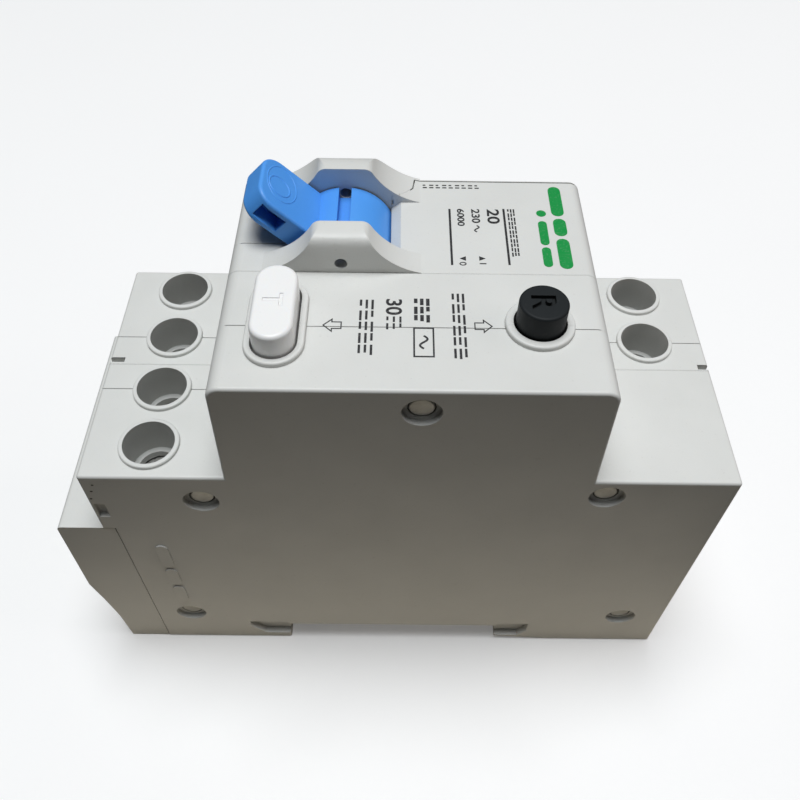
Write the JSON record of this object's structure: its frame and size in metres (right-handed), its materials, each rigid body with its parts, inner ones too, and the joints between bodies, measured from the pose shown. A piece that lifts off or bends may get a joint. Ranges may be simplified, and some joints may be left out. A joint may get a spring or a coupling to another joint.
{
  "type": "residual current circuit breaker",
  "caption": "Two-module rail-mounted residual current breaker with a lever toggle, test and reset buttons, and screw terminals at both ends.",
  "frame": {"origin": "on the rail seat, on the centre line of the nose, at the plane where the two modules meet", "axes": "+X to the supply terminals, +Y from the residual-current module to the breaker module, +Z away from the rail"},
  "size_m": [0.0866, 0.036, 0.0713],
  "materials": {
    "shell_plastic": "fine matt moulded thermoplastic, warm off-white",
    "clip_plastic": "grey glass-filled nylon",
    "toggle_plastic": "satin moulded plastic, blue",
    "test_plastic": "semi-gloss moulded plastic, white",
    "reset_plastic": "satin moulded plastic, near black",
    "inner_plastic": "dark heat-resistant plastic",
    "zinc_steel": "zinc-plated steel",
    "copper": "copper",
    "contact_silver": "silver alloy contact tip",
    "bimetal": "rolled bimetal",
    "fibre": "vulcanised fibre",
    "core_black": "cased nanocrystalline core",
    "wire_insulation": "soft wire insulation",
    "board_green": "solder mask on glass-fibre laminate",
    "varistor_blue": "epoxy coating",
    "capacitor_sleeve": "shrunk plastic sleeve",
    "component_black": "moulded epoxy",
    "screw_zinc": "zinc-plated steel, yellow-passivated",
    "cage_zinc": "zinc-plated steel"
  },
  "bodies": {
    "housing": {"breaker_front_shell": "shell_plastic", "breaker_rear_shell": "shell_plastic", "residual_front_shell": "shell_plastic", "residual_rear_shell": "shell_plastic", "terminal_skirt": "shell_plastic", "assembly_rivets": "zinc_steel", "toggle_pin": "zinc_steel", "toggle_spring": "zinc_steel", "carrier_pin": "zinc_steel", "trip_pins": "zinc_steel", "magnetic_yoke": "zinc_steel", "relay_frame": "zinc_steel", "arc_chute_plates": "zinc_steel", "test_spring": "zinc_steel", "reset_spring": "zinc_steel", "supply_bars": "copper", "load_bars": "copper", "module_links": "copper", "flexible_braids": "copper", "magnetic_coil": "copper", "relay_coil": "copper", "test_blade": "copper", "sensing_winding": "copper", "fixed_tips": "contact_silver", "bimetal_strip": "bimetal", "arc_chute_sides": "fibre", "pole_partition": "fibre", "sensing_core": "core_black", "primary_wires": "wire_insulation", "circuit_board": "board_green", "varistor": "varistor_blue", "capacitor": "capacitor_sleeve", "board_parts": "component_black", "test_resistor": "component_black"},
    "toggle": {"toggle_handle": "toggle_plastic"},
    "toggle_wire": {"toggle_link": "zinc_steel"},
    "carrier": {"contact_carrier": "inner_plastic", "contact_arms": "copper", "moving_tips": "contact_silver"},
    "trip_plunger": {"magnetic_plunger": "zinc_steel"},
    "trip_arm": {"trip_lever": "inner_plastic"},
    "relay_core": {"relay_plunger": "zinc_steel"},
    "transfer_arm": {"transfer_lever": "inner_plastic"},
    "test_key": {"test_button": "test_plastic"},
    "reset_key": {"reset_button": "reset_plastic"},
    "breaker_clip": {"breaker_rail_clip": "clip_plastic"},
    "residual_clip": {"residual_rail_clip": "clip_plastic"},
    "supply_phase_driver": {"supply_phase_screw": "screw_zinc"},
    "supply_phase_lift": {"supply_phase_cage": "cage_zinc"},
    "supply_neutral_driver": {"supply_neutral_screw": "screw_zinc"},
    "supply_neutral_lift": {"supply_neutral_cage": "cage_zinc"},
    "linked_phase_driver": {"linked_phase_screw": "screw_zinc"},
    "linked_phase_lift": {"linked_phase_cage": "cage_zinc"},
    "linked_neutral_driver": {"linked_neutral_screw": "screw_zinc"},
    "linked_neutral_lift": {"linked_neutral_cage": "cage_zinc"},
    "load_phase_driver": {"load_phase_screw": "screw_zinc"},
    "load_phase_lift": {"load_phase_cage": "cage_zinc"},
    "load_neutral_driver": {"load_neutral_screw": "screw_zinc"},
    "load_neutral_lift": {"load_neutral_cage": "cage_zinc"}
  },
  "joints": [
    {"name": "toggle_turn", "type": "hinge", "parent": "housing", "child": "toggle", "pos_m": [-0.0084, 0.0082, 0.0553], "axis": [0, 1, 0], "range_deg": [0, 92]},
    {"name": "link_turn", "type": "hinge", "parent": "toggle", "child": "toggle_wire", "pos_m": [-0.00538, 0.0081, 0.05238], "axis": [0, 1, 0], "range_deg": [-92, 0]},
    {"name": "carrier_turn", "type": "hinge", "parent": "housing", "child": "carrier", "pos_m": [-0.0084, 0.009, 0.0203], "axis": [0, 1, 0], "range_deg": [-18, 0]},
    {"name": "plunger_slide", "type": "slide", "parent": "housing", "child": "trip_plunger", "axis": [-1, 0, 0], "range_m": [0, 0.002]},
    {"name": "trip_arm_turn", "type": "hinge", "parent": "housing", "child": "trip_arm", "pos_m": [-0.0031, 0.0125, 0.039], "axis": [0, 1, 0], "range_deg": [0, 14]},
    {"name": "relay_slide", "type": "slide", "parent": "housing", "child": "relay_core", "axis": [-1, 0, 0], "range_m": [0, 0.002]},
    {"name": "transfer_turn", "type": "hinge", "parent": "housing", "child": "transfer_arm", "pos_m": [-0.0031, -0.0066, 0.039], "axis": [0, 1, 0], "range_deg": [0, 14]},
    {"name": "test_press", "type": "slide", "parent": "housing", "child": "test_key", "axis": [0, 0, -1], "range_m": [0, 0.0018], "stiffness_N_per_m": 900, "springref_m": -0.001, "deforming": ["test_spring"]},
    {"name": "reset_press", "type": "slide", "parent": "housing", "child": "reset_key", "axis": [0, 0, -1], "range_m": [0, 0.0026], "stiffness_N_per_m": 700, "springref_m": -0.001, "deforming": ["reset_spring"]},
    {"name": "breaker_clip_slide", "type": "slide", "parent": "housing", "child": "breaker_clip", "axis": [-1, 0, 0], "range_m": [0, 0.0034]},
    {"name": "residual_clip_slide", "type": "slide", "parent": "housing", "child": "residual_clip", "axis": [-1, 0, 0], "range_m": [0, 0.0034]},
    {"name": "supply_phase_screw_turn", "type": "hinge", "parent": "housing", "child": "supply_phase_driver", "pos_m": [0.03215, 0.0139, 0.0346], "axis": [0, 0, -1], "range_deg": [0, 2520]},
    {"name": "supply_phase_cage_rise", "type": "slide", "parent": "housing", "child": "supply_phase_lift", "axis": [0, 0, 1], "range_m": [0, 0.0049]},
    {"name": "supply_neutral_screw_turn", "type": "hinge", "parent": "housing", "child": "supply_neutral_driver", "pos_m": [0.03215, 0.0049, 0.0346], "axis": [0, 0, -1], "range_deg": [0, 2520]},
    {"name": "supply_neutral_cage_rise", "type": "slide", "parent": "housing", "child": "supply_neutral_lift", "axis": [0, 0, 1], "range_m": [0, 0.0049]},
    {"name": "linked_phase_screw_turn", "type": "hinge", "parent": "housing", "child": "linked_phase_driver", "pos_m": [-0.03215, 0.0139, 0.0346], "axis": [0, 0, -1], "range_deg": [0, 2520]},
    {"name": "linked_phase_cage_rise", "type": "slide", "parent": "housing", "child": "linked_phase_lift", "axis": [0, 0, 1], "range_m": [0, 0.0049]},
    {"name": "linked_neutral_screw_turn", "type": "hinge", "parent": "housing", "child": "linked_neutral_driver", "pos_m": [-0.03215, 0.0049, 0.0346], "axis": [0, 0, -1], "range_deg": [0, 2520]},
    {"name": "linked_neutral_cage_rise", "type": "slide", "parent": "housing", "child": "linked_neutral_lift", "axis": [0, 0, 1], "range_m": [0, 0.0049]},
    {"name": "load_phase_screw_turn", "type": "hinge", "parent": "housing", "child": "load_phase_driver", "pos_m": [-0.03215, -0.0131, 0.0346], "axis": [0, 0, -1], "range_deg": [0, 2520]},
    {"name": "load_phase_cage_rise", "type": "slide", "parent": "housing", "child": "load_phase_lift", "axis": [0, 0, 1], "range_m": [0, 0.0049]},
    {"name": "load_neutral_screw_turn", "type": "hinge", "parent": "housing", "child": "load_neutral_driver", "pos_m": [-0.03215, -0.0042, 0.0346], "axis": [0, 0, -1], "range_deg": [0, 2520]},
    {"name": "load_neutral_cage_rise", "type": "slide", "parent": "housing", "child": "load_neutral_lift", "axis": [0, 0, 1], "range_m": [0, 0.0049]}
  ],
  "couplings": [
    {"joint": "link_turn", "follows": "toggle_turn", "ratio": -1},
    {"joint": "carrier_turn", "follows": "toggle_turn", "ratio": -0.19565},
    {"joint": "trip_arm_turn", "follows": "plunger_slide", "rad_per_m": 122},
    {"joint": "transfer_turn", "follows": "relay_slide", "rad_per_m": 122},
    {"joint": "supply_phase_screw_turn", "follows": "supply_phase_cage_rise", "rad_per_m": 8975.9},
    {"joint": "supply_neutral_screw_turn", "follows": "supply_neutral_cage_rise", "rad_per_m": 8975.9},
    {"joint": "linked_phase_screw_turn", "follows": "linked_phase_cage_rise", "rad_per_m": 8975.9},
    {"joint": "linked_neutral_screw_turn", "follows": "linked_neutral_cage_rise", "rad_per_m": 8975.9},
    {"joint": "load_phase_screw_turn", "follows": "load_phase_cage_rise", "rad_per_m": 8975.9},
    {"joint": "load_neutral_screw_turn", "follows": "load_neutral_cage_rise", "rad_per_m": 8975.9}
  ]
}
